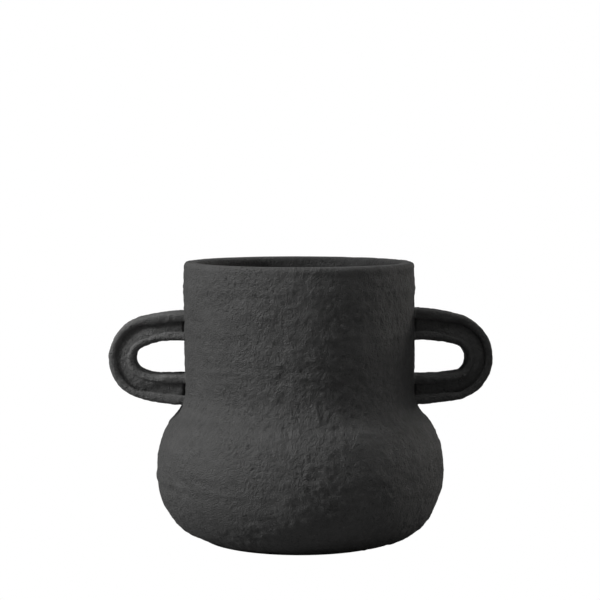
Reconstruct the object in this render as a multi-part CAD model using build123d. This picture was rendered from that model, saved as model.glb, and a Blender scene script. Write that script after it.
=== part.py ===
from build123d import *
from math import acos, asin, atan2, cos, hypot, pi, sin
import os

# Two-handled stoneware vase. Millimetres, +Z up.
# The origin is the centre of the foot on the surface that the vase stands on.
# +X runs through the right handle, and -Y is the front.

# Thrown pot: a straight neck over a wide low belly
height = 190.0
wall = 10.0
neck_radius = 78.5
neck_foot_z = 103.0
belly_radius = 97.9
belly_z = 47.0
foot_radius = 64.4

# Its outline runs in tangent arcs: a hollow waist, a round shoulder,
# a nearly straight belly, and a tuck that turns in to the foot
waist_round = 31.0
shoulder_round = 48.0
upper_belly_round = 100.0
lower_belly_round = 67.0
tuck_round = 46.0

# Floor and trimmed foot ring
floor_thickness = 9.5
foot_ring_width = 12.0
foot_recess = 2.5

# Strap handles: half ovals that stand out from the neck
arm_top_z = 157.0
arm_foot_z = 93.0
gap_top_z = 138.2
gap_foot_z = 112.4
strap_depth = 24.0
strap_edge_round = 2.2

# Each handle was bent by hand, so the two differ a little.
# The rounds are the radii just above and just below the tip.
handle_reach = {"left": 130.2, "right": 131.6}
handle_tip_z = {"left": 124.6, "right": 124.8}
handle_rounds = {"left": (29.0, 28.3), "right": (28.8, 28.6)}
gap_reach = {"left": 112.1, "right": 113.5}
gap_tip_z = {"left": 123.6, "right": 123.5}
gap_rounds = {"left": (8.8, 9.9), "right": (10.8, 9.2)}

# Channel pressed into both faces of the strap, between an outer and an inner bead
outer_bead_tip = 5.8
outer_bead_root = 6.6
inner_bead_tip = 5.0
inner_bead_root = 5.8
channel_depth = 2.2

# Clay smoothed into the corner between a handle arm and the neck
luting_round = 2.4
luting_edge = 0.4
luting_slope = 45
waist_flare = 1.8

# The arms start inside the wall, and turn outwards from just under its surface
arm_start_x = neck_radius - wall / 2
arm_turn_x = neck_radius - 2.0
luting_start_x = neck_radius - 1.6


def angle_to(start, end):
    """The angle, up from +X, of the way from one point of the XZ plane to another."""
    return atan2(end[1] - start[1], end[0] - start[0])


def arc(centre, radius, start, end):
    """An arc in the XZ plane between two angles up from +X."""
    angles = (start, (start + end) / 2, end)
    points = [(centre[0] + radius * cos(angle), 0, centre[1] + radius * sin(angle)) for angle in angles]
    return ThreePointArc(*points)


def meeting_point(first, first_reach, second, second_reach):
    """The point at one distance from each of two others, to the left of the way between them."""
    apart = hypot(second[0] - first[0], second[1] - first[1])
    along = (apart ** 2 + first_reach ** 2 - second_reach ** 2) / (2 * apart)
    heading = angle_to(first, second) + acos(along / first_reach)
    return (first[0] + first_reach * cos(heading), first[1] + first_reach * sin(heading))


def wall_arcs(depth, end_z):
    """The pot's wall from the neck's foot down to end_z, at a depth under its outer surface."""
    waist = (neck_radius + waist_round, neck_foot_z)
    upper_belly = (belly_radius - upper_belly_round, belly_z)
    lower_belly = (belly_radius - lower_belly_round, belly_z)
    shoulder = meeting_point(
        waist, waist_round + shoulder_round, upper_belly, upper_belly_round - shoulder_round
    )
    tuck = meeting_point(lower_belly, lower_belly_round - tuck_round, (foot_radius, 0), tuck_round)
    end_angle = asin((end_z - tuck[1]) / (tuck_round - depth))
    return [
        arc(waist, waist_round + depth, -pi, angle_to(waist, shoulder)),
        arc(shoulder, shoulder_round - depth, angle_to(shoulder, waist), angle_to(upper_belly, shoulder)),
        arc(upper_belly, upper_belly_round - depth, angle_to(upper_belly, shoulder), 0),
        arc(lower_belly, lower_belly_round - depth, 0, angle_to(lower_belly, tuck)),
        arc(tuck, tuck_round - depth, angle_to(lower_belly, tuck), end_angle),
    ]


def vessel():
    """The hollow pot, with a rounded lip, an open mouth, a foot ring and a recessed underside."""
    lip_z = height - wall / 2
    floor_z = foot_recess + floor_thickness
    ring_inside = foot_radius - foot_ring_width
    outside = wall_arcs(0, 0)
    inside = wall_arcs(wall, floor_z)
    neck = [
        Line(outside[0] @ 0, (neck_radius, 0, lip_z)),
        arc((neck_radius - wall / 2, lip_z), wall / 2, 0, pi),
        Line((neck_radius - wall, 0, lip_z), inside[0] @ 0),
    ]
    underside = Polyline(
        inside[-1] @ 1,
        (0, 0, floor_z),
        (0, 0, foot_recess),
        (ring_inside - foot_recess, 0, foot_recess),
        (ring_inside, 0, 0),
        outside[-1] @ 1,
    )
    return revolve(make_face(outside + neck + inside + [underside]), Axis.Z)


def pot_space():
    """The room the pot takes up, filled in. It trims what is fitted to the wall."""
    outside = wall_arcs(0, 0)
    top_z = height - wall / 2
    core = Polyline(outside[0] @ 0, (neck_radius, 0, top_z), (0, 0, top_z), (0, 0, 0), outside[-1] @ 1)
    return revolve(make_face(outside + [core]), Axis.Z)


def half_oval(reach, tip_z, top_z, foot_z, rounds):
    """A bow out from the neck, closed inside the wall.

    From its tip each half is a small arc and then a wide one that arrives level at the neck.
    """
    length = reach - arm_turn_x
    bow = []
    for end_z, small in zip((top_z, foot_z), rounds):
        up = 1 if end_z > tip_z else -1
        rise = abs(end_z - tip_z)
        wide = ((length - small) ** 2 + rise ** 2 - small ** 2) / (2 * (rise - small))
        turn = up * atan2(wide - rise, length - small)
        bow.append(arc((reach - small, tip_z), small, 0, turn))
        bow.append(arc((arm_turn_x, end_z - up * wide), wide, turn, up * pi / 2))
    stub = Polyline(
        (arm_turn_x, 0, foot_z),
        (arm_start_x, 0, foot_z),
        (arm_start_x, 0, top_z),
        (arm_turn_x, 0, top_z),
    )
    return make_face(bow + [stub])


def bow_outline(side, inset_tip=0.0, inset_root=0.0):
    """The strap's outer outline, or a line inside it."""
    return half_oval(
        handle_reach[side] - inset_tip,
        handle_tip_z[side],
        arm_top_z - inset_root,
        arm_foot_z + inset_root,
        [radius - inset_tip for radius in handle_rounds[side]],
    )


def gap_outline(side, outset_tip=0.0, outset_root=0.0):
    """The outline of the finger gap, or a line outside it."""
    return half_oval(
        gap_reach[side] + outset_tip,
        gap_tip_z[side],
        gap_top_z + outset_root,
        gap_foot_z - outset_root,
        [radius + outset_tip for radius in gap_rounds[side]],
    )


def face_edges(body):
    """The long edges of a plain strap's front and back faces."""
    found = []
    for edge in body.edges():
        box = edge.bounding_box()
        on_face = abs(box.max.Y - box.min.Y) < 0.01 and abs(abs(box.max.Y) - strap_depth / 2) < 0.01
        if on_face and box.max.X > arm_start_x + 1:
            found.append(edge)
    return found


def strap(side):
    """One channelled strap, not yet trimmed to the wall, as it would stand on the right."""
    body = extrude(bow_outline(side) - gap_outline(side), amount=strap_depth / 2, both=True)
    body = fillet(face_edges(body), strap_edge_round)
    groove = bow_outline(side, outer_bead_tip, outer_bead_root)
    groove -= gap_outline(side, inner_bead_tip, inner_bead_root)
    for face_side in (-1, 1):
        groove_y = face_side * (strap_depth - channel_depth)
        body -= Pos(0, groove_y, 0) * extrude(groove, amount=strap_depth / 2, both=True)
    return body


def arm_root(arm):
    """The heights between which an arm meets the neck, and those of its channel."""
    if arm == "upper":
        ends = (gap_top_z, arm_top_z)
        channel = (gap_top_z + inner_bead_root, arm_top_z - outer_bead_root)
    else:
        ends = (arm_foot_z, gap_foot_z)
        channel = (arm_foot_z + outer_bead_root, gap_foot_z - inner_bead_root)
    return ends, channel


def luting(arm, corner):
    """Clay smoothed round both beads of one root. The channels run up to the wall unfilled."""
    (low, high), (channel_low, channel_high) = arm_root(arm)
    # It starts inside the wall, so it spreads further there, and more where the waist flares
    spread = luting_round + neck_radius - luting_start_x
    flare = waist_flare if arm == "lower" else 0.0
    middle_z = (low - flare + high) / 2
    foot = Plane(origin=(luting_start_x, 0, middle_z), x_dir=(0, 1, 0), z_dir=(1, 0, 0))
    outline = RectangleRounded(
        strap_depth + 2 * spread,
        high - low + flare + 2 * spread,
        strap_edge_round + spread,
    )
    collar = extrude(foot * outline, amount=spread - luting_edge, taper=luting_slope)
    channel_height = channel_high - channel_low
    for face_side in (-1, 1):
        channel_y = face_side * (strap_depth - channel_depth)
        channel = Box(wall * 3, strap_depth, channel_height)
        collar -= Pos(neck_radius, channel_y, (channel_low + channel_high) / 2) * channel
    return collar - corner


os.makedirs("parts", exist_ok=True)
room = pot_space()
export_step(vessel(), "parts/vessel_body.step")

for side in ("left", "right"):
    untrimmed = strap(side)
    corner = room + untrimmed
    pieces = {
        side + "_handle": untrimmed - room,
        side + "_upper_luting": luting("upper", corner),
        side + "_lower_luting": luting("lower", corner),
    }
    for name, piece in pieces.items():
        placed = mirror(piece, about=Plane.YZ) if side == "left" else piece
        export_step(placed, "parts/" + name + ".step")
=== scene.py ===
from math import acos, asin, atan2, ceil, cos, hypot, pi, radians, sin

import bmesh
import bpy
import numpy as np
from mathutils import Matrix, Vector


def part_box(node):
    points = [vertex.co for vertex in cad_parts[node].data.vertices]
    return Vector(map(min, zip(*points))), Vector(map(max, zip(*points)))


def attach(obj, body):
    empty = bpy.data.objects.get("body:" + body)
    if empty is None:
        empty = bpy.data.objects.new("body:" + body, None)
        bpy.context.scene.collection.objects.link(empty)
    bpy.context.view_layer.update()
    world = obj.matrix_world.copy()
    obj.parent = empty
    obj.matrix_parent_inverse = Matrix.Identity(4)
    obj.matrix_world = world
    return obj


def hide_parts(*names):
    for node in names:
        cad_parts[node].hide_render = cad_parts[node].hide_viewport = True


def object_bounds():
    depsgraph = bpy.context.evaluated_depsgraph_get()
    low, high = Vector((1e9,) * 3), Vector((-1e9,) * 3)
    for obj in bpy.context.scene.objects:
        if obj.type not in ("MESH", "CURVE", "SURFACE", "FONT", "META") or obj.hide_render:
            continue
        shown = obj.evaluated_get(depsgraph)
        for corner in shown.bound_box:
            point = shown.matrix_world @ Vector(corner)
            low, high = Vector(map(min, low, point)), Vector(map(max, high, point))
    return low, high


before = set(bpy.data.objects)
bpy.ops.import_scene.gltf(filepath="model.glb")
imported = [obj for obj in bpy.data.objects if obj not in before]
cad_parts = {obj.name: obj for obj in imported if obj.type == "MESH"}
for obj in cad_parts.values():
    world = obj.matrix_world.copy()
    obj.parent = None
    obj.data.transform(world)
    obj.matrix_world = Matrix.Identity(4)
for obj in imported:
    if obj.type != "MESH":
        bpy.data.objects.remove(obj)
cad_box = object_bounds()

# A two-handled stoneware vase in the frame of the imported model: +Z up, +X through the right
# handle, -Y the front. Lengths whose names end in _mm are in millimetres, and others in metres.
MM = 0.001
box_margin = 0.00001

# The pot's outline, as it was thrown
pot_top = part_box("vessel_body")[1]
height_mm = pot_top.z / MM
belly_radius_mm = pot_top.x / MM
belly_z_mm = 47.0
wall_mm = 10.0
neck_radius_mm = 78.5
neck_foot_mm = 103.0
foot_radius_mm = 64.4
foot_ring_mm = 12.0
foot_recess_mm = 2.5
floor_top_mm = 12.0
waist_round_mm = 31.0
shoulder_round_mm = 48.0
upper_belly_round_mm = 100.0
lower_belly_round_mm = 67.0
tuck_round_mm = 46.0

# The lip's section: its height, and how square its shoulders are
lip_mm = 4.4
lip_fullness = 2.8

# Where hands left the pot out of true: which side, how far out, at what height, over what half width
hand_humps_mm = [
    ("right", 0.9, 55, 48),
    ("right", 1.7, 12, 14),
    ("left", -1.4, 2, 8),
    ("left", 0.5, 44, 4),
    ("all_round", 0.5, 80, 14),
    ("all_round", 0.5, 82, 5),
    ("front_and_back", -1.5, 112, 40),
    ("front_and_back", -0.45, 47, 26),
]
right_shift_mm = 0.15
left_flare_mm = 0.5
left_flare_z_mm = (110, 160)

# The strap handles. Their section changes from the root, at the neck, to the tip.
strap_half_mm = 12.0
outer_edge_mm = {"root": 2.4, "tip": 2.4}
inner_edge_mm = {"root": 2.4, "tip": 3.6}
outer_bead_mm = {"root": 6.2, "tip": 4.7}
inner_bead_mm = {"root": 5.6, "tip": 5.0}
bead_fall_mm = 0.9
root_end_mm = 98.0
tip_start_mm = 112.0
arm_start_mm = neck_radius_mm - 4.0

# The channel's floor, with a groove beside the outer bead and small pits where it meets the wall
channel_depth_mm = {"root": 2.6, "tip": 1.1}
groove_mm = {"root": 0.4, "tip": 2.6}
groove_fall = {"root": 3, "tip": 1.8}
channel_side = 0.04
root_pit_mm = 1.6
root_pit_reach_mm = 1.7
root_pit_slope_mm = 1.8

# Each handle was bent by hand. Rounds are the radii just above and just below the tip. Levels are
# how far out from the pot's axis the upper and the lower arm turn level.
outer_bow = {
    "left": {
        "reach": 130.1, "tip": 124.4, "top": 156.2, "foot": 92.6,
        "rounds": (28.4, 28.3), "levels": (76.5, 76.5),
    },
    "right": {
        "reach": 131.55, "tip": 125.0, "top": 158.2, "foot": 93.0,
        "rounds": (29.6, 29.4), "levels": (76.5, 76.5),
    },
}
inner_bow = {
    "left": {
        "reach": 112.1, "tip": 123.6, "top": 136.7, "foot": 113.2,
        "rounds": (9.2, 8.8), "levels": (86.0, 96.0),
    },
    "right": {
        "reach": 113.8, "tip": 123.6, "top": 137.1, "foot": 112.7,
        "rounds": (10.6, 8.9), "levels": (84.0, 80.0),
    },
}

# The luting's width on the wall and on the strap, how deep it is set into the wall, its width at
# a strip's ends as a share of that in the middle, and how much its edge wavers
luting_mm = 2.1
luting_set_mm = 0.3
luting_end_share = 0.35
luting_waver = 0.25

# How far each kind of mark stands off the clay, or goes into it
pot_mark_mm = {
    "bands": 0.36,
    "uneven": 0.4,
    "wide": 0.42,
    "brushed": 0.2,
    "lumps": 0.42,
    "scars": 0.38,
    "creases": 0.16,
    "pits": 0.4,
    "chips": 1.1,
}
bore_mark_mm = {"rings": 0.35, "lumps": 0.12, "scars": 0.1}
strap_mark_mm = {"wide": 0.25, "lumps": 0.26, "scars": 0.24, "pits": 0.25}
luting_mark_mm = {"lumps": 0.2, "scars": 0.12}

# The throwing spiral's rise in a turn, and how far the marks lean over for each mm of height
spiral_rise_mm = 4.4
mark_lean = 0.003

# The side of the pot that was scraped roughest, as an angle from +X, and how rough the pot is on
# the whole, towards that side and in patches
rough_side_deg = -80
mean_roughness = 0.66
side_roughness = 0.45
patch_roughness = 0.9
least_roughness = 0.25
most_roughness = 1.5

# Where the marks set in above the foot, and where below the top the sponge took them down
plain_foot_mm = (0.2, 2.0)
lip_smooth_from_mm = 14
lip_smooth_full_mm = 3
lip_smoothing = 0.6

# Mesh density
pot_columns = 600
pot_row_mm = 1.0
inside_row_mm = 2.6
underside_row_mm = 9.0
recess_row_mm = 1.2
foot_row_mm = 2.0
floor_row_mm = 6.0
underside_hub_mm = 6.0
floor_hub_mm = 5.0
lip_steps = 24
bow_rows = 170
bow_point_mm = 0.3
band_steps = 18
edge_steps = 6
bead_steps = 7
channel_steps = 18
luting_bead_steps = 5
luting_edge_steps = 6
luting_band_steps = 24
luting_hollow_steps = 8

# How much painted shade darkens a pit and the inside of the pot, how rough the clay is, and how much
# of that its clouds take off
pit_painted_shade = 0.3
inside_painted_shade = 0.52
clay_roughness = 0.86
cloud_gloss = 0.3

# The studio: camera, lights, air and floor
camera_place = (0.00034, -1.3, 0.2559)
camera_pitch_deg = 4.06
lens_mm = 114.2
sensor_mm = 36.0
light_distance = 2.0
light_aim_z = 0.1
floor_half = 6.0
floor_grey = 0.25
floor_glow = 0.01
air_light = 0.03
white = (1, 1, 1, 1)


def soft_noise(points, cell, seed):
    """Smooth noise between about -1 and 1, with its lumps about one cell apart."""
    rng = np.random.default_rng(seed)
    shuffle = rng.permutation(256)
    slopes = rng.normal(size=(256, 3))
    slopes /= np.linalg.norm(slopes, axis=1)[:, None]
    scaled = points / np.asarray(cell, float)
    corner = np.floor(scaled).astype(int)
    inside = scaled - corner
    ease = inside ** 3 * (inside * (inside * 6 - 15) + 10)
    total = np.zeros(len(points))
    for step in np.ndindex(2, 2, 2):
        mixed = np.zeros(len(points), int)
        weight = np.ones(len(points))
        for axis in range(3):
            mixed = shuffle[(mixed + corner[:, axis] + step[axis]) & 255]
            weight *= ease[:, axis] if step[axis] else 1 - ease[:, axis]
        total += weight * np.sum(slopes[mixed] * (inside - step), axis=1)
    # Unit slopes keep the sum within about two thirds
    return total * 1.5


def smooth_between(value, low, high):
    """0 below low, 1 above high, and an eased step between them."""
    t = np.clip((value - low) / (high - low), 0, 1)
    return t * t * (3 - 2 * t)


def hump(value, middle, half_width):
    """1 at the middle, and 0 from half a width away."""
    return smooth_between(half_width - np.abs(value - middle), 0, half_width)


def mesh_piece(name, points_mm, faces, material, node):
    """A smooth-shaded piece that stands for a CAD node."""
    mesh = bpy.data.meshes.new(name)
    mesh.from_pydata((points_mm * MM).tolist(), [], faces)
    mesh.polygons.foreach_set("use_smooth", [True] * len(mesh.polygons))
    mesh.materials.append(material)
    shape = bmesh.new()
    shape.from_mesh(mesh)
    bmesh.ops.recalc_face_normals(shape, faces=shape.faces)
    shape.to_mesh(mesh)
    shape.free()
    piece = bpy.data.objects.new(name, mesh)
    bpy.context.scene.collection.objects.link(piece)
    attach(piece, "root")
    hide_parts(node)
    return piece


def press_relief(piece, relief):
    """Moves each point along its normal by relief(points in mm), and keeps it in the model's box."""
    mesh = piece.data
    count = len(mesh.vertices)
    points = np.zeros(count * 3)
    mesh.vertices.foreach_get("co", points)
    points = points.reshape(-1, 3)
    normals = np.zeros(count * 3)
    mesh.vertex_normals.foreach_get("vector", normals)
    points += normals.reshape(-1, 3) * (relief(points / MM) * MM)[:, None]
    points = np.clip(points, np.array(cad_box[0]) + box_margin, np.array(cad_box[1]) - box_margin)
    mesh.vertices.foreach_set("co", points.ravel())
    mesh.update()


def capped_grid(rows, columns):
    """Quads between rows of a closed ring, and a fan at each end to one of two points after them."""
    faces = []
    for row in range(rows - 1):
        start = row * columns
        for column in range(columns):
            after = (column + 1) % columns
            faces.append((start + column, start + after, start + columns + after, start + columns + column))
    first_cap = rows * columns
    last_row = first_cap - columns
    for column in range(columns):
        after = (column + 1) % columns
        faces.append((first_cap, after, column))
        faces.append((first_cap + 1, last_row + column, last_row + after))
    return faces


# The pot

def heading(start, end):
    """The angle, up from +X, of the way from one point of the outline's plane to another."""
    return atan2(end[1] - start[1], end[0] - start[0])


def meeting_point(first, first_reach, second, second_reach):
    """The point at one distance from each of two others, to the left of the way between them."""
    apart = hypot(second[0] - first[0], second[1] - first[1])
    along = (apart ** 2 + first_reach ** 2 - second_reach ** 2) / (2 * apart)
    turn = heading(first, second) + acos(along / first_reach)
    return (first[0] + first_reach * cos(turn), first[1] + first_reach * sin(turn))


def arc_points(centre, radius, start, end, spacing):
    """Points along an arc, without its last."""
    steps = max(2, ceil(abs(end - start) * radius / spacing))
    angles = [start + (end - start) * step / steps for step in range(steps)]
    return [(centre[0] + radius * cos(angle), centre[1] + radius * sin(angle)) for angle in angles]


def line_points(start, end, spacing):
    """Points along a line, without its last."""
    steps = max(1, ceil(hypot(end[0] - start[0], end[1] - start[1]) / spacing))
    return [
        (start[0] + (end[0] - start[0]) * step / steps, start[1] + (end[1] - start[1]) * step / steps)
        for step in range(steps)
    ]


def lip_points(centre):
    """Points over the lip, from the outside in: a half oval with squared shoulders."""
    points = []
    for step in range(lip_steps):
        turn = pi * step / lip_steps
        across = abs(cos(turn)) ** (2 / lip_fullness) * (1 if turn < pi / 2 else -1)
        up = sin(turn) ** (2 / lip_fullness)
        points.append((centre[0] + across * wall_mm / 2, centre[1] + up * lip_mm))
    return points


def wall_points(depth, end_z, spacing):
    """The wall from the neck's foot down to end_z, at a depth under the outer surface."""
    waist = (neck_radius_mm + waist_round_mm, neck_foot_mm)
    upper_belly = (belly_radius_mm - upper_belly_round_mm, belly_z_mm)
    lower_belly = (belly_radius_mm - lower_belly_round_mm, belly_z_mm)
    shoulder = meeting_point(
        waist, waist_round_mm + shoulder_round_mm, upper_belly, upper_belly_round_mm - shoulder_round_mm
    )
    tuck = meeting_point(
        lower_belly, lower_belly_round_mm - tuck_round_mm, (foot_radius_mm, 0), tuck_round_mm
    )
    shoulder_low = heading(upper_belly, shoulder)
    tuck_high = heading(lower_belly, tuck)
    tuck_low = asin((end_z - tuck[1]) / (tuck_round_mm - depth))
    runs = [
        (waist, waist_round_mm + depth, -pi, heading(waist, shoulder)),
        (shoulder, shoulder_round_mm - depth, heading(shoulder, waist), shoulder_low),
        (upper_belly, upper_belly_round_mm - depth, shoulder_low, 0),
        (lower_belly, lower_belly_round_mm - depth, 0, tuck_high),
        (tuck, tuck_round_mm - depth, tuck_high, tuck_low),
    ]
    points = [point for run in runs for point in arc_points(*run, spacing)]
    centre, radius, _, last = runs[-1]
    return points + [(centre[0] + radius * cos(last), centre[1] + radius * sin(last))]


def pot_outline():
    """Radius and height of each ring, from the middle of the underside round to the inside floor."""
    lip_z = height_mm - lip_mm
    outside = wall_points(0, 0, pot_row_mm)
    inside = wall_points(wall_mm, floor_top_mm, inside_row_mm)
    ring_inside = (foot_radius_mm - foot_ring_mm, 0)
    recess_edge = (ring_inside[0] - foot_recess_mm, foot_recess_mm)
    underside = line_points((underside_hub_mm, foot_recess_mm), recess_edge, underside_row_mm)
    underside += line_points(recess_edge, ring_inside, recess_row_mm)
    underside += line_points(ring_inside, (foot_radius_mm, 0), foot_row_mm)
    neck = line_points((neck_radius_mm, neck_foot_mm), (neck_radius_mm, lip_z), pot_row_mm)
    lip = lip_points((neck_radius_mm - wall_mm / 2, lip_z))
    bore = line_points((neck_radius_mm - wall_mm, lip_z), inside[0], inside_row_mm)
    floor = line_points(inside[-1], (floor_hub_mm, floor_top_mm), floor_row_mm)
    return underside + outside[::-1] + neck[1:] + lip + bore + inside[:-1] + floor


def wall_radius(z):
    """Outer radius of the plain wall at heights in mm."""
    outline = wall_points(0, 0, pot_row_mm)[::-1]
    heights = [point[1] for point in outline]
    radii = [point[0] for point in outline]
    return np.where(np.asarray(z) > neck_foot_mm, neck_radius_mm, np.interp(z, heights, radii))


def hand_shape(angle, z):
    """Where the pot departs from a true round one, in mm."""
    share = {
        "right": np.maximum(np.cos(angle), 0) ** 2,
        "left": np.maximum(-np.cos(angle), 0) ** 2,
        "front_and_back": np.sin(angle) ** 2,
        "all_round": 1.0,
    }
    shape = share["right"] * right_shift_mm
    shape += share["left"] * left_flare_mm * smooth_between(z, *left_flare_z_mm)
    for side, stands_out, middle, half_width in hand_humps_mm:
        shape += share[side] * stands_out * hump(z, middle, half_width)
    return shape


def pot_relief(points):
    """How far the thrown and brushed surface stands off the plain one, in mm."""
    radius = np.hypot(points[:, 0], points[:, 1])
    angle = np.arctan2(points[:, 1], points[:, 0])
    z = points[:, 2]
    outside = smooth_between(radius - wall_radius(z) + wall_mm, 0.3 * wall_mm, 0.6 * wall_mm)
    outside *= smooth_between(z, *plain_foot_mm)
    spiral = z + spiral_rise_mm * angle / (2 * pi)
    spiral = np.stack([spiral, 0 * z, 0 * z], 1)
    lean = mark_lean * z
    leaned = np.stack([radius * np.cos(angle + lean), radius * np.sin(angle + lean), z], 1)
    brushed_patches = smooth_between(soft_noise(points, cell=44.0, seed=15), -0.1, 0.4)
    marks = {
        "bands": soft_noise(spiral, cell=11.0, seed=3) + 0.5 * soft_noise(spiral, cell=5.0, seed=4),
        "uneven": soft_noise(points, cell=60.0, seed=5),
        "wide": soft_noise(leaned, cell=(12.0, 12.0, 15.0), seed=6),
        "brushed": soft_noise(leaned, cell=(26.0, 26.0, 2.6), seed=14) * brushed_patches,
    }
    coarse_marks = {
        "lumps": soft_noise(leaned, cell=(6.0, 6.0, 6.6), seed=7),
        "scars": soft_noise(leaned, cell=(2.7, 2.7, 3.0), seed=8),
        "creases": 0.3 - np.abs(soft_noise(leaned, cell=(4.4, 4.4, 4.8), seed=11)),
        "pits": -smooth_between(soft_noise(points, cell=3.0, seed=9), 0.4, 0.7),
    }
    roughness = mean_roughness + side_roughness * np.cos(angle - radians(rough_side_deg))
    roughness += patch_roughness * soft_noise(points, cell=30.0, seed=12)
    near_lip = smooth_between(z, height_mm - lip_smooth_from_mm, height_mm - lip_smooth_full_mm)
    roughness = np.clip(roughness, least_roughness, most_roughness) * (1 - lip_smoothing * near_lip)
    relief = sum(pot_mark_mm[kind] * mark for kind, mark in marks.items())
    relief += roughness * sum(pot_mark_mm[kind] * mark for kind, mark in coarse_marks.items())
    chips = smooth_between(soft_noise(points, cell=(6.0, 6.0, 3.0), seed=13), 0.25, 0.6)
    chips *= hump(z, middle=1, half_width=3.5)
    relief += hand_shape(angle, z) - pot_mark_mm["chips"] * chips
    rings = bore_mark_mm["rings"] * soft_noise(spiral, cell=7.0, seed=10)
    rings += bore_mark_mm["lumps"] * coarse_marks["lumps"] + bore_mark_mm["scars"] * coarse_marks["scars"]
    in_bore = (1 - outside) * smooth_between(z, floor_top_mm + 2, floor_top_mm + 12)
    return outside * relief + in_bore * rings


def make_pot(material):
    """The thrown pot in one wall: underside, foot, belly, neck, lip and inside."""
    outline = np.array(pot_outline())
    angles = np.arange(pot_columns) * 2 * pi / pot_columns
    rings = np.stack(
        [
            outline[:, :1] * np.cos(angles),
            outline[:, :1] * np.sin(angles),
            np.repeat(outline[:, 1:], pot_columns, axis=1),
        ],
        axis=2,
    ).reshape(-1, 3)
    points = np.vstack([rings, [0, 0, foot_recess_mm], [0, 0, floor_top_mm]])
    faces = capped_grid(len(outline), pot_columns)
    pot = mesh_piece("thrown_pot", points, faces, material, "vessel_body")
    reach = np.hypot(points[:, 0], points[:, 1])
    inside = smooth_between(wall_radius(points[:, 2]) - reach, wall_mm * 0.6, wall_mm)
    inside *= smooth_between(points[:, 2], foot_recess_mm, floor_top_mm)
    pot.data.attributes.new("inside", "FLOAT", "POINT").data.foreach_set("value", inside)
    press_relief(pot, pot_relief)


# The handles

def half_oval(bow):
    """Points of a bow in the XZ plane from its top root round the tip to its lower root."""
    halves = []
    for end_z, small, level in zip((bow["top"], bow["foot"]), bow["rounds"], bow["levels"]):
        length = bow["reach"] - level
        up = 1 if end_z > bow["tip"] else -1
        rise = abs(end_z - bow["tip"])
        wide = ((length - small) ** 2 + rise ** 2 - small ** 2) / (2 * (rise - small))
        turn = atan2(wide - rise, length - small)
        near_tip = arc_points((bow["reach"] - small, bow["tip"]), small, 0, up * turn, bow_point_mm)
        to_neck = arc_points((level, end_z - up * wide), wide, up * turn, up * pi / 2, bow_point_mm)
        halves.append(near_tip + to_neck + [(arm_start_mm, end_z)])
    path = np.array(halves[0][::-1] + halves[1][1:])
    steps = np.hypot(*np.diff(path, axis=0).T)
    travelled = np.concatenate([[0], np.cumsum(steps)])
    even = np.linspace(0, travelled[-1], bow_rows)
    return np.stack([np.interp(even, travelled, path[:, 0]), np.interp(even, travelled, path[:, 1])], 1)


def normals_of(path):
    """Unit normals of a bow, away from the finger gap."""
    along = np.gradient(path, axis=0)
    along /= np.hypot(along[:, 0], along[:, 1])[:, None]
    return np.stack([-along[:, 1], along[:, 0]], 1)


def root_to_tip(values, tipness):
    """A measure of the strap's section, from its value at the root to that at the tip."""
    return values["root"] + (values["tip"] - values["root"]) * tipness


def bead_section(outline, inward, bead, edge):
    """Points across a bead, from its band to its channel, as (places, lift from the middle)."""
    section = []
    for step in range(edge_steps + 1):
        turn = step / edge_steps * pi / 2
        place = outline + inward * edge * (1 - cos(turn))
        section.append((place, strap_half_mm - edge[:, 0] * (1 - sin(turn))))
    for step in range(1, bead_steps + 1):
        share = step / bead_steps
        place = outline + inward * (edge + (bead - edge) * share)
        section.append((place, np.full(len(place), strap_half_mm - bead_fall_mm * share ** 2)))
    return section


def channel_floor(share, tipness):
    """How deep the channel lies, from its groove at 0 to the inner bead at 1."""
    depths = {
        part: channel_depth_mm[part] + groove_mm[part] * (1 - share) ** groove_fall[part]
        for part in ("root", "tip")
    }
    return root_to_tip(depths, tipness)


def strap_sections(side):
    """Rings of points round the strap, one ring for each step along its bow."""
    outer = half_oval(outer_bow[side])
    inner = half_oval(inner_bow[side])
    inward = -normals_of(outer)
    outward = normals_of(inner)
    tipness = smooth_between(outer[:, :1], root_end_mm, tip_start_mm)
    outer_bead = root_to_tip(outer_bead_mm, tipness)
    inner_bead = root_to_tip(inner_bead_mm, tipness)
    outer_edge = root_to_tip(outer_edge_mm, tipness)
    inner_edge = root_to_tip(inner_edge_mm, tipness)
    channel_start = outer + inward * outer_bead
    channel_width = inner + outward * inner_bead - channel_start
    front = bead_section(outer, inward, outer_bead, outer_edge)
    for step in range(channel_steps + 1):
        share = step / channel_steps
        place = channel_start + channel_width * (channel_side + (1 - 2 * channel_side) * share)
        near_wall = smooth_between(neck_radius_mm + root_pit_reach_mm - place[:, 0], 0, root_pit_slope_mm)
        sunk = channel_floor(share, tipness[:, 0]) + root_pit_mm * near_wall
        front.append((place, strap_half_mm - sunk))
    front += reversed(bead_section(inner, outward, inner_bead, inner_edge))
    across = [2 * step / band_steps - 1 for step in range(1, band_steps)]
    columns = [(outer, (strap_half_mm - outer_edge[:, 0]) * share) for share in across] + front
    columns += [(inner, -(strap_half_mm - inner_edge[:, 0]) * share) for share in across]
    columns += [(place, -lift) for place, lift in reversed(front)]
    return np.stack([np.stack([place[:, 0], -lift, place[:, 1]], 1) for place, lift in columns], 1)


def strap_relief(points):
    """Marks of the fingers and the sponge on a strap, in mm."""
    marks = {
        "wide": soft_noise(points, cell=14.0, seed=21),
        "lumps": soft_noise(points, cell=5.5, seed=22),
        "scars": soft_noise(points, cell=2.6, seed=23),
        "pits": -smooth_between(soft_noise(points, cell=2.8, seed=24), 0.42, 0.75),
    }
    return sum(strap_mark_mm[kind] * mark for kind, mark in marks.items())


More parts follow.
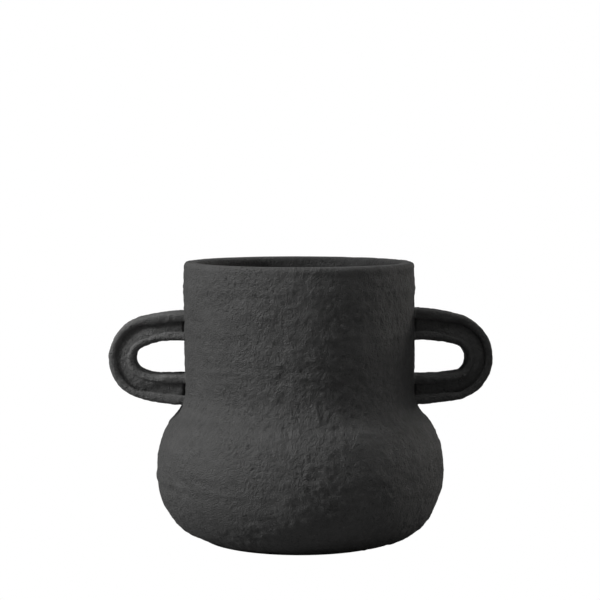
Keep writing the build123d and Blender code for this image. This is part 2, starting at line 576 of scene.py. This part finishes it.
def make_strap(side, material):
    """One channelled strap from wall to wall."""
    sections = strap_sections(side)
    rows, columns = sections.shape[:2]
    points = np.vstack([sections.reshape(-1, 3), sections[0].mean(0), sections[-1].mean(0)])
    faces = capped_grid(rows, columns)
    if side == "left":
        points = points * (-1, 1, 1)
        faces = [face[::-1] for face in faces]
    strap = mesh_piece(side + "_strap", points, faces, material, side + "_handle")
    press_relief(strap, strap_relief)


# The luting: clay worked into the corner between a bead and the wall

def bead_path(edge_z, channel_z):
    """Places (y, z) round one bead at its root, from channel to channel, with their outward normals."""
    up = 1 if edge_z > channel_z else -1
    edge = outer_edge_mm["root"]
    corner_y = strap_half_mm - edge
    corner_z = edge_z - up * edge
    places = []
    for step in range(luting_bead_steps):
        share = step / luting_bead_steps
        places.append((-strap_half_mm, channel_z + (corner_z - channel_z) * share, -1, 0))
    for step in range(luting_edge_steps):
        turn = step / luting_edge_steps * pi / 2
        y = -corner_y - edge * cos(turn)
        z = corner_z + up * edge * sin(turn)
        places.append((y, z, -cos(turn), up * sin(turn)))
    for step in range(luting_band_steps // 2 + 1):
        places.append((-corner_y + 2 * corner_y * step / luting_band_steps, edge_z, 0, up))
    mirrored = [(-y, z, -out_y, out_z) for y, z, out_y, out_z in reversed(places[:-1])]
    return np.array(places + mirrored)


def luting_section():
    """The strip's section as (out from the bead, out from the wall), in shares of its width."""
    hollow = [(1 - sin(turn), 1 - cos(turn)) for turn in np.linspace(0, pi / 2, luting_hollow_steps)]
    return [(1.2, -0.9)] + hollow + [(-0.5, 1.0), (-0.5, -0.9)]


def luting_strip(edge_z, channel_z):
    """Points and faces of one strip, laid round one bead and lying on the wall."""
    path = bead_path(edge_z, channel_z)
    place, outward = path[:, :2], path[:, 2:]
    fullness = np.sin(np.linspace(0, pi, len(path))) ** 0.25
    width = luting_mm * (luting_end_share + (1 - luting_end_share) * fullness)
    width = width * (1 + luting_waver * soft_noise(np.hstack([place, place[:, :1]]), cell=7.0, seed=31))
    section = luting_section()
    points = []
    for offset, lift in section:
        y_z = place + outward * (width * offset)[:, None]
        wall = np.sqrt(np.maximum(wall_radius(y_z[:, 1]) ** 2 - y_z[:, 0] ** 2, 0))
        points += np.stack([wall + width * lift - luting_set_mm, y_z[:, 0], y_z[:, 1]], 1).tolist()
    columns = len(path)
    rings = range(len(section))
    faces = []
    for ring in rings:
        here = ring * columns
        after = (ring + 1) % len(section) * columns
        for column in range(columns - 1):
            faces.append((here + column, here + column + 1, after + column + 1, after + column))
    faces.append(tuple(ring * columns for ring in rings))
    faces.append(tuple(ring * columns + columns - 1 for ring in reversed(rings)))
    return points, faces


def luting_relief(points):
    """Finger marks on the luting, in mm."""
    lumps = luting_mark_mm["lumps"] * soft_noise(points, cell=4.0, seed=32)
    return lumps + luting_mark_mm["scars"] * soft_noise(points, cell=2.2, seed=33)


def make_luting(side, arm, material):
    """Two concave strips at one root, one round each bead, open at the channels."""
    edge, up = ("top", 1) if arm == "upper" else ("foot", -1)
    outer_z = outer_bow[side][edge]
    inner_z = inner_bow[side][edge]
    strips = [
        luting_strip(outer_z, outer_z - up * outer_bead_mm["root"]),
        luting_strip(inner_z, inner_z + up * inner_bead_mm["root"]),
    ]
    points = []
    faces = []
    for strip_points, strip_faces in strips:
        faces += [tuple(len(points) + corner for corner in face) for face in strip_faces]
        points += strip_points
    points = np.array(points)
    if side == "left":
        points = points * (-1, 1, 1)
    name = side + "_" + arm + "_luting"
    luting = mesh_piece(name + "_clay", points, faces, material, name)
    press_relief(luting, luting_relief)


# Finishes

def add_group(name, inputs, outputs):
    """An empty shader node group with named float or colour sockets."""
    group = bpy.data.node_groups.new(name, "ShaderNodeTree")
    for socket, kind, value in inputs:
        made = group.interface.new_socket(name=socket, in_out="INPUT", socket_type="NodeSocket" + kind)
        made.default_value = value
    for socket, kind in outputs:
        group.interface.new_socket(name=socket, in_out="OUTPUT", socket_type="NodeSocket" + kind)
    return group, group.nodes.new("NodeGroupInput").outputs, group.nodes.new("NodeGroupOutput").inputs


def place_group(tree, group, values):
    """A shared group in a material, with that material's own values."""
    node = tree.nodes.new("ShaderNodeGroup")
    node.node_tree = group
    for socket, value in values.items():
        node.inputs[socket].default_value = value
    return node


def add_node(tree, kind, settings=None, **sockets):
    """A node with its settings, and its inputs linked or set. Underscores stand for spaces."""
    node = tree.nodes.new("ShaderNode" + kind)
    for key, value in (settings or {}).items():
        setattr(node, key, value)
    for key, value in sockets.items():
        socket = node.inputs[int(key[1:])] if key[1:].isdigit() else node.inputs[key.replace("_", " ")]
        if isinstance(value, bpy.types.NodeSocket):
            tree.links.new(value, socket)
        else:
            socket.default_value = value
    return node


def math_node(tree, operation, first, second=0.0):
    """The result of a math node on two values."""
    return add_node(tree, "Math", {"operation": operation}, i0=first, i1=second).outputs[0]


def sum_node(tree, *values):
    """The sum of some values."""
    total = values[0]
    for value in values[1:]:
        total = math_node(tree, "ADD", total, value)
    return total


def product_node(tree, *values):
    """The product of some values."""
    total = values[0]
    for value in values[1:]:
        total = math_node(tree, "MULTIPLY", total, value)
    return total


def swing_node(tree, noise, *amounts):
    """A noise between 0 and 1 turned into a change either way, as strong as the amounts say."""
    return product_node(tree, math_node(tree, "SUBTRACT", noise, 0.5), *amounts)


def step_node(tree, value, low, high):
    """An eased step from 0 at low to 1 at high."""
    settings = {"interpolation_type": "SMOOTHSTEP"}
    return add_node(tree, "MapRange", settings, Value=value, From_Min=low, From_Max=high).outputs["Result"]


def noise_node(tree, place, **sockets):
    """A noise between 0 and 1 at a place."""
    return add_node(tree, "TexNoise", Vector=place, **sockets).outputs[0]


def grit_group():
    """Grains, brushed scars and pits of grogged clay: a height in mm and a mask of the pits."""
    inputs = [
        ("Grain mm", "Float", 0.1),
        ("Scar mm", "Float", 0.1),
        ("Pit mm", "Float", 0.2),
    ]
    tree, given, result = add_group("grogged_clay", inputs, [("Height", "Float"), ("Pits", "Float")])
    place = add_node(tree, "TexCoord").outputs["Object"]
    brushed = {"Rotation": (0.0, 0.2, 0.0), "Scale": (1.0, 1.0, 0.75)}
    tall = add_node(tree, "Mapping", Vector=place, **brushed).outputs[0]
    fine = noise_node(tree, place, Scale=1150.0, Detail=2.0, Roughness=0.6)
    coarse = noise_node(tree, tall, Scale=560.0, Detail=2.0, Roughness=0.6, Distortion=0.4)
    holes = noise_node(tree, place, Scale=520.0, Detail=0.0)
    patches = noise_node(tree, place, Scale=55.0, Detail=1.0)
    rough = add_node(tree, "MapRange", Value=patches, From_Min=0.35, From_Max=0.65, To_Min=0.45, To_Max=1.4)
    in_rough_patch = step_node(tree, patches, low=0.4, high=0.55)
    pit = product_node(tree, step_node(tree, holes, low=0.68, high=0.76), in_rough_patch)
    grain = swing_node(tree, fine, given["Grain mm"])
    scar = swing_node(tree, coarse, rough.outputs["Result"], given["Scar mm"])
    hollow = product_node(tree, pit, given["Pit mm"])
    height = math_node(tree, "SUBTRACT", sum_node(tree, grain, scar), hollow)
    tree.links.new(height, result["Height"])
    tree.links.new(pit, result["Pits"])
    return tree


def tone_group():
    """Fired clay that varies in tone: clouds, sponged rings, grog specks, edges lightened partly by wear
    and partly as a painted highlight, and painted shade in the pits and inside the pot.
    """
    inputs = [
        ("Clay", "Color", (0.05, 0.05, 0.05, 1)),
        ("Cloud", "Float", 0.55),
        ("Rings", "Float", 0.55),
        ("Grog", "Float", 0.5),
        ("Wear and highlight", "Float", 0.3),
        ("Pits", "Float", 0.0),
    ]
    tree, given, result = add_group("fired_tone", inputs, [("Color", "Color"), ("Roughness", "Float")])
    place = add_node(tree, "TexCoord").outputs["Object"]
    cloud = noise_node(tree, place, Scale=110.0, Detail=3.0, Roughness=0.6)
    flat = add_node(tree, "Mapping", Vector=place, Scale=(0.1, 0.1, 1.0)).outputs[0]
    rings = noise_node(tree, flat, Scale=85.0, Detail=2.0)
    grains = noise_node(tree, place, Scale=760.0, Detail=1.0, Roughness=0.7)
    grog = product_node(tree, step_node(tree, grains, low=0.68, high=0.8), given["Grog"])
    # Convex edges and relief peaks are lightened: partly real wear, partly a painted highlight where edges
    # would catch the light.
    edge = add_node(tree, "NewGeometry").outputs["Pointiness"]
    worn_and_highlit = product_node(tree, step_node(tree, edge, low=0.51, high=0.6), given["Wear and highlight"])
    clouds = swing_node(tree, cloud, given["Cloud"])
    ringed = swing_node(tree, rings, given["Rings"])
    # Painted shade: the pits and the inside of the pot are darkened as if shade fell in them.
    inside = add_node(tree, "Attribute", {"attribute_name": "inside"}).outputs["Fac"]
    painted_pit_shade = product_node(tree, given["Pits"], pit_painted_shade)
    painted_shade = sum_node(tree, painted_pit_shade, product_node(tree, inside, inside_painted_shade))
    light = sum_node(tree, clouds, ringed, grog, worn_and_highlit)
    factor = sum_node(tree, math_node(tree, "SUBTRACT", light, painted_shade), 1.0)
    scaled = add_node(tree, "VectorMath", {"operation": "SCALE"}, i0=given["Clay"], Scale=factor)
    rough = math_node(tree, "SUBTRACT", clay_roughness, product_node(tree, cloud, cloud_gloss))
    tree.links.new(scaled.outputs[0], result["Color"])
    tree.links.new(rough, result["Roughness"])
    return tree


grit = grit_group()
tone = tone_group()


def clay_material(name, relief_values, tone_values):
    """Unglazed black stoneware."""
    material = bpy.data.materials.new(name)
    material.use_nodes = True
    tree = material.node_tree
    shader = tree.nodes["Principled BSDF"]
    shader.inputs["Specular IOR Level"].default_value = 0.4
    relief = place_group(tree, grit, relief_values)
    colour = place_group(tree, tone, tone_values)
    bump = add_node(tree, "Bump", Height=relief.outputs["Height"], Distance=MM, Strength=1.0)
    tree.links.new(relief.outputs["Pits"], colour.inputs["Pits"])
    tree.links.new(colour.outputs["Color"], shader.inputs["Base Color"])
    tree.links.new(colour.outputs["Roughness"], shader.inputs["Roughness"])
    tree.links.new(bump.outputs[0], shader.inputs["Normal"])
    return material


def thrown_clay():
    """The pot's clay, coarse from the wheel and the scraper."""
    relief = {"Grain mm": 1.2, "Scar mm": 1.3, "Pit mm": 0.4}
    look = {"Clay": (0.045, 0.045, 0.0445, 1), "Grog": 1.0, "Wear and highlight": 1.0}
    return clay_material("black_stoneware_thrown", relief, look)


def pulled_clay(side):
    """A strap's clay, smoothed by hand. The left strap is a lighter copy as if lit, and the right one a
    darker copy as if in shade: painted light and painted shade.
    """
    relief = {"Grain mm": 1.0, "Scar mm": 1.1, "Pit mm": 0.3}
    # Painted light and shade: one clay, lightened for the left strap as if lit and darkened for the right
    # strap as if in the neck's shadow.
    looks = {
        "left": ("painted_lit", (0.076, 0.076, 0.0755, 1)),
        "right": ("painted_shade", (0.025, 0.025, 0.0245, 1)),
    }
    shade, clay = looks[side]
    look = {"Clay": clay, "Grog": 0.9, "Wear and highlight": 1.6}
    return clay_material("black_stoneware_pulled_" + shade, relief, look)


def wiped_clay():
    """The luting's clay, wiped nearly smooth."""
    relief = {"Grain mm": 0.3, "Scar mm": 0.4, "Pit mm": 0.2}
    look = {"Clay": (0.041, 0.041, 0.04, 1), "Grog": 0.4, "Wear and highlight": 0.3}
    return clay_material("black_stoneware_wiped", relief, look)


make_pot(thrown_clay())
wiped = wiped_clay()
for side in ("left", "right"):
    make_strap(side, pulled_clay(side))
    for arm in ("upper", "lower"):
        make_luting(side, arm, wiped)


# The studio

def make_camera():
    """The camera in front of the vase, a little above its rim."""
    data = bpy.data.cameras.new("camera")
    data.lens = lens_mm
    data.sensor_width = sensor_mm
    camera = bpy.data.objects.new("camera", data)
    camera.location = camera_place
    camera.rotation_euler = (radians(90 - camera_pitch_deg), 0, 0)
    bpy.context.scene.collection.objects.link(camera)
    bpy.context.scene.camera = camera


def soft_light(name, azimuth, elevation, size, power, colour=(1, 1, 1)):
    """A square light that looks at the vase. Azimuth 0 is the front and 90 the right."""
    data = bpy.data.lights.new(name, "AREA")
    data.size = size
    data.energy = power
    data.color = colour
    light = bpy.data.objects.new(name, data)
    turn = radians(azimuth)
    rise = radians(elevation)
    out = light_distance * cos(rise)
    light.location = (out * sin(turn), -out * cos(turn), light_distance * sin(rise) + light_aim_z)
    light.rotation_euler = (pi / 2 - rise, 0, turn)
    bpy.context.scene.collection.objects.link(light)


def make_world():
    """White to the camera, and a faint even light on everything else."""
    world = bpy.data.worlds.new("studio")
    world.use_nodes = True
    bpy.context.scene.world = world
    tree = world.node_tree
    air = tree.nodes["Background"]
    air.inputs["Color"].default_value = white
    air.inputs["Strength"].default_value = air_light
    backdrop = add_node(tree, "Background", Strength=1.0, Color=white)
    seen = add_node(tree, "LightPath").outputs["Is Camera Ray"]
    both = add_node(tree, "MixShader", i0=seen, i1=air.outputs[0], i2=backdrop.outputs[0])
    tree.links.new(both.outputs[0], tree.nodes["World Output"].inputs["Surface"])


def paper_material():
    """Paper that is white to the camera, and grey to the light that comes back off it."""
    paper = bpy.data.materials.new("white_paper")
    paper.use_nodes = True
    tree = paper.node_tree
    sheet = tree.nodes["Principled BSDF"]
    sheet.inputs["Base Color"].default_value = (floor_grey, floor_grey, floor_grey, 1)
    sheet.inputs["Roughness"].default_value = 0.9
    sheet.inputs["Emission Color"].default_value = white
    sheet.inputs["Emission Strength"].default_value = floor_glow
    glow = add_node(tree, "Emission", Strength=1.0)
    seen = add_node(tree, "LightPath").outputs["Is Camera Ray"]
    both = add_node(tree, "MixShader", i0=seen, i1=sheet.outputs[0], i2=glow.outputs[0])
    tree.links.new(both.outputs[0], tree.nodes["Material Output"].inputs["Surface"])
    return paper


def make_floor():
    """The sheet of paper that the vase stands on."""
    mesh = bpy.data.meshes.new("floor")
    corners = [(x * floor_half, y * floor_half, 0) for x, y in ((-1, -1), (1, -1), (1, 1), (-1, 1))]
    mesh.from_pydata(corners, [], [(0, 1, 2, 3)])
    mesh.materials.append(paper_material())
    floor = bpy.data.objects.new("floor", mesh)
    bpy.context.scene.collection.objects.link(floor)


make_camera()
bpy.context.scene.view_settings.view_transform = "Standard"
soft_light("key", azimuth=-74, elevation=29, size=0.6, power=46)
soft_light("front_fill", azimuth=24, elevation=25, size=0.9, power=4.2)
soft_light("right_edge", azimuth=119, elevation=12, size=0.6, power=10, colour=(1.0, 0.97, 0.93))
soft_light("back_edge", azimuth=165, elevation=50, size=0.8, power=5)
soft_light("top", azimuth=-5, elevation=76, size=0.9, power=17)
make_world()
make_floor()

bpy.context.view_layer.update()
